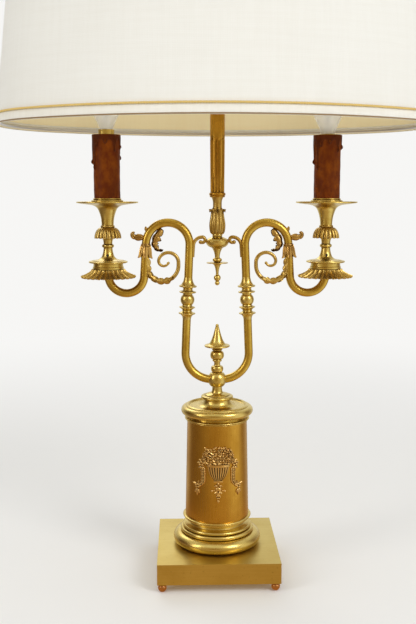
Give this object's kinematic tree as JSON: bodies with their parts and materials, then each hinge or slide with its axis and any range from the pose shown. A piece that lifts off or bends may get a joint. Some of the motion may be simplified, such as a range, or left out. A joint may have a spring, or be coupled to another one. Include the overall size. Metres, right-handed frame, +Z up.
{
  "type": "bouillotte lamp",
  "caption": "Brass bouillotte table lamp with two scrolled candle arms on a column and an oval fabric shade that slides and turns on a centre rod.",
  "frame": {"origin": "on the table under the middle of the column, where the lamp's upright axis meets the plane that the feet stand on", "axes": "+Z up along the column and the rod, +X towards the right candle seen from the front, -Y towards the front with the basket relief"},
  "size_m": [0.4226, 0.2826, 0.7332],
  "materials": {
    "polished_brass": "aged polished brass, clear",
    "satin_brass": "satin, brushed upright, browner",
    "steel": "plain",
    "iron": "rough cast",
    "black_plastic": "moulded",
    "wire": "insulated",
    "ivory_plastic": "moulded",
    "wax": "brown imitation wax",
    "clear_glass": "clear",
    "filament": "fine wire",
    "linen": "off-white shade cloth with a cream lining",
    "tape": "binding tape",
    "gold_thread": "gold braid"
  },
  "bodies": {
    "root": {"plinth": "polished_brass", "ball_feet": "polished_brass", "underside_plate": "steel", "base_weight": "iron", "cord_bushing": "black_plastic", "column_foot": "polished_brass", "drum_rings": "polished_brass", "column_drum": "satin_brass", "basket_relief": "polished_brass", "column_cap": "polished_brass", "neck_disc": "polished_brass", "tie_rod": "steel", "tie_rod_nut": "steel", "hub_ball": "polished_brass", "hub_baluster": "polished_brass", "hub_finial": "polished_brass", "left_lower_arm": "polished_brass", "right_lower_arm": "polished_brass", "left_arm_collars": "polished_brass", "right_arm_collars": "polished_brass", "left_upper_arm": "polished_brass", "right_upper_arm": "polished_brass", "leaf_husks": "polished_brass", "left_scroll": "polished_brass", "right_scroll": "polished_brass", "arch_leaves": "polished_brass", "inner_brackets": "polished_brass", "arm_wires": "wire", "leaf_skirts": "polished_brass", "left_candle_cup": "polished_brass", "right_candle_cup": "polished_brass", "gadroon_bells": "polished_brass", "left_drip_pan": "polished_brass", "right_drip_pan": "polished_brass", "candle_nipples": "polished_brass", "cup_set_screws": "polished_brass", "left_lampholder": "ivory_plastic", "right_lampholder": "ivory_plastic", "left_candle_sleeve": "wax", "right_candle_sleeve": "wax", "pendant": "polished_brass", "centre_bowl": "polished_brass", "leaf_baluster": "polished_brass", "fluted_stem": "polished_brass", "shade_rod": "polished_brass"},
    "shade_carrier": {"slide_sleeve": "polished_brass", "shade_ring_nut": "polished_brass"},
    "shade": {"shade_frame": "steel", "shade_spider": "steel", "shade_skin": "linen", "shade_tapes": "tape", "gold_braid": "gold_thread"},
    "thumb_screw": {"thumb_screw": "polished_brass"},
    "rod_finial": {"rod_finial": "polished_brass"},
    "left_bulb": {"left_bulb": "clear_glass", "left_bulb_cap": "polished_brass", "left_filament": "filament"},
    "right_bulb": {"right_bulb": "clear_glass", "right_bulb_cap": "polished_brass", "right_filament": "filament"}
  },
  "joints": [
    {"name": "shade_slide", "type": "slide", "parent": "root", "child": "shade_carrier", "axis": [0, 0, 1], "range_m": [-0.035, 0.015]},
    {"name": "shade_turn", "type": "hinge", "parent": "shade_carrier", "child": "shade", "pos_m": [0, 0, 0.68], "axis": [0, 0, 1], "continuous": true},
    {"name": "thumb_screw_turn", "type": "hinge", "parent": "shade_carrier", "child": "thumb_screw", "pos_m": [0.012, 0, 0.65236], "axis": [1, 0, 0], "range_deg": [0, 360]},
    {"name": "rod_finial_turn", "type": "hinge", "parent": "root", "child": "rod_finial", "pos_m": [0, 0, 0.72], "axis": [0, 0, 1], "continuous": true},
    {"name": "left_bulb_turn", "type": "hinge", "parent": "root", "child": "left_bulb", "pos_m": [-0.107, 0, 0.45], "axis": [0, 0, 1], "continuous": true},
    {"name": "right_bulb_turn", "type": "hinge", "parent": "root", "child": "right_bulb", "pos_m": [0.107, 0, 0.45], "axis": [0, 0, 1], "continuous": true}
  ]
}
